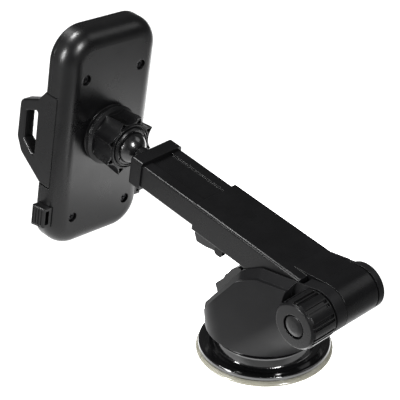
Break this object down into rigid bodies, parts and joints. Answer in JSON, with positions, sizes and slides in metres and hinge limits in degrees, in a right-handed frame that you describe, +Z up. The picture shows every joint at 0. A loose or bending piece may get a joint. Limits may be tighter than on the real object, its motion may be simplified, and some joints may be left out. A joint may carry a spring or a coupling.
{
  "type": "car phone mount",
  "caption": "Telescopic car phone mount: suction foot with lock lever, hinged arm with clamp knob, sliding tube, ball joint and a spring-open clamping cradle with sliding foot.",
  "frame": {"origin": "centre of the suction face, at the bottom of the gel pad", "axes": "+Z up away from the suction face; the arm reaches towards -Y and the cradle faces -Y; the elbow axis is X, with the knob on the +X side"},
  "size_m": [0.0749, 0.2083, 0.137],
  "materials": {
    "abs_black": "satin moulded ABS with a fine spark-eroded grain",
    "abs_dome": "matte moulded ABS",
    "abs_knob": "satin moulded ABS",
    "tube_black": "satin moulded nylon",
    "gloss_black": "glossy black polyurethane",
    "ball_black": "polished black nylon",
    "rubber_black": "matte silicone rubber",
    "gel_clear": "milky translucent polyurethane gel",
    "steel": "zinc-plated steel",
    "screw_black": "black-oxide steel",
    "brass": "turned brass",
    "acetal": "natural acetal"
  },
  "bodies": {
    "base": {"gel_pad": "gel_clear", "cup_body": "gloss_black", "cup_membrane": "gloss_black", "stud_spring": "steel", "base_plate": "abs_black", "base_screws": "screw_black", "base_dome": "abs_dome", "lever_pin": "steel", "elbow_bolt": "steel", "bolt_cover": "abs_black", "friction_washers": "acetal"},
    "stud": {"pull_stud": "acetal", "stud_pin": "steel"},
    "lever": {"base_lever": "abs_black"},
    "knob_washer": {"knob_washer": "steel"},
    "knob": {"elbow_knob": "abs_knob", "knob_insert": "brass", "knob_cap": "abs_knob"},
    "arm": {"outer_tube": "tube_black", "latch_pin": "steel"},
    "latch": {"arm_latch": "abs_black"},
    "slider": {"inner_tube": "tube_black", "collar": "tube_black", "collar_screw": "screw_black"},
    "ball": {"ball_stud": "ball_black"},
    "seat": {"ball_seat": "acetal"},
    "cradle": {"rear_housing": "abs_black", "front_cover": "abs_black", "front_pad": "rubber_black", "housing_screws": "screw_black", "pinion_pin": "steel", "arm_springs": "steel", "pawl_spring": "steel"},
    "nut_washer": {"nut_washer": "abs_black", "friction_ring": "abs_black"},
    "nut": {"ball_nut": "abs_knob"},
    "grip_right": {"grip_arm_right": "abs_black", "arm_pad_right": "rubber_black"},
    "grip_left": {"grip_arm_left": "abs_black", "arm_pad_left": "rubber_black"},
    "pinion": {"pinion": "acetal"},
    "button_right": {"release_button_right": "abs_black"},
    "button_left": {"release_button_left": "abs_black"},
    "pawl": {"lock_pawl": "acetal"},
    "foot": {"foot": "abs_black", "foot_pad": "rubber_black"}
  },
  "joints": [
    {"name": "elbow_hinge", "type": "hinge", "parent": "base", "child": "arm", "pos_m": [0, 0.0465, 0.0505], "axis": [-1, 0, 0], "range_deg": [-3, 150]},
    {"name": "lever_hinge", "type": "hinge", "parent": "base", "child": "lever", "pos_m": [0, -0.007, 0.031], "axis": [-1, 0, 0], "range_deg": [0, 30.01]},
    {"name": "stud_slide", "type": "slide", "parent": "base", "child": "stud", "axis": [0, 0, -1], "range_m": [0, 0.00375], "deforming": ["stud_spring", "cup_membrane"]},
    {"name": "knob_travel", "type": "slide", "parent": "base", "child": "knob_washer", "axis": [1, 0, 0], "range_m": [0, 0.0008]},
    {"name": "knob_turn", "type": "hinge", "parent": "knob_washer", "child": "knob", "pos_m": [0.02, 0.0465, 0.0505], "axis": [1, 0, 0], "range_deg": [0, 360.1]},
    {"name": "arm_slide", "type": "slide", "parent": "arm", "child": "slider", "axis": [0, -0.986, 0.1669], "range_m": [-0.025, 0.015]},
    {"name": "latch_hinge", "type": "hinge", "parent": "arm", "child": "latch", "pos_m": [0, -0.01875, 0.05151], "axis": [1, 0, 0], "range_deg": [0, 30]},
    {"name": "ball_roll", "type": "hinge", "parent": "slider", "child": "ball", "pos_m": [0, -0.09577, 0.07459], "axis": [0, -0.986, 0.1669], "range_deg": [-180, 180]},
    {"name": "ball_tilt", "type": "hinge", "parent": "ball", "child": "seat", "pos_m": [0, -0.09577, 0.07459], "axis": [0.9957, 0.0087, 0.092], "range_deg": [-28, 20]},
    {"name": "ball_pan", "type": "hinge", "parent": "seat", "child": "cradle", "pos_m": [0, -0.09577, 0.07459], "axis": [-0.0924, 0.0937, 0.9913], "range_deg": [-24, 24]},
    {"name": "nut_travel", "type": "slide", "parent": "cradle", "child": "nut_washer", "axis": [0, 0.9956, -0.0941], "range_m": [0, 0.000666]},
    {"name": "nut_turn", "type": "hinge", "parent": "nut_washer", "child": "nut", "pos_m": [0, -0.09577, 0.07459], "axis": [0, 0.9956, -0.0941], "range_deg": [0, 120]},
    {"name": "grip_right_slide", "type": "slide", "parent": "cradle", "child": "grip_right", "axis": [0.9957, 0.0087, 0.092], "range_m": [0, 0.017], "deforming": ["arm_springs"]},
    {"name": "grip_left_slide", "type": "slide", "parent": "cradle", "child": "grip_left", "axis": [-0.9957, -0.0087, -0.092], "range_m": [0, 0.017]},
    {"name": "pinion_spin", "type": "hinge", "parent": "cradle", "child": "pinion", "pos_m": [0.00018, -0.12224, 0.07519], "axis": [0, 0.9956, -0.0941], "range_deg": [0, 163]},
    {"name": "button_right_press", "type": "slide", "parent": "cradle", "child": "button_right", "axis": [-0.9957, -0.0087, -0.092], "range_m": [0, 0.0025], "stiffness_N_per_m": 300, "springref_m": -0.002},
    {"name": "button_left_press", "type": "slide", "parent": "cradle", "child": "button_left", "axis": [0.9957, 0.0087, 0.092], "range_m": [0, 0.0025]},
    {"name": "pawl_slide", "type": "slide", "parent": "cradle", "child": "pawl", "axis": [0.0924, -0.0937, -0.9913], "range_m": [0, 0.0018], "deforming": ["pawl_spring"]},
    {"name": "foot_slide", "type": "slide", "parent": "cradle", "child": "foot", "axis": [0.0924, -0.0937, -0.9913], "range_m": [0, 0.015]}
  ],
  "couplings": [
    {"joint": "lever_hinge", "follows": "stud_slide", "rad_per_m": 139.63},
    {"joint": "knob_turn", "follows": "knob_travel", "rad_per_m": 7854},
    {"joint": "nut_turn", "follows": "nut_travel", "rad_per_m": 3141.6},
    {"joint": "grip_left_slide", "follows": "grip_right_slide", "ratio": 1},
    {"joint": "pinion_spin", "follows": "grip_right_slide", "rad_per_m": 166.67},
    {"joint": "button_left_press", "follows": "button_right_press", "ratio": 1},
    {"joint": "pawl_slide", "follows": "button_right_press", "ratio": 0.72}
  ]
}
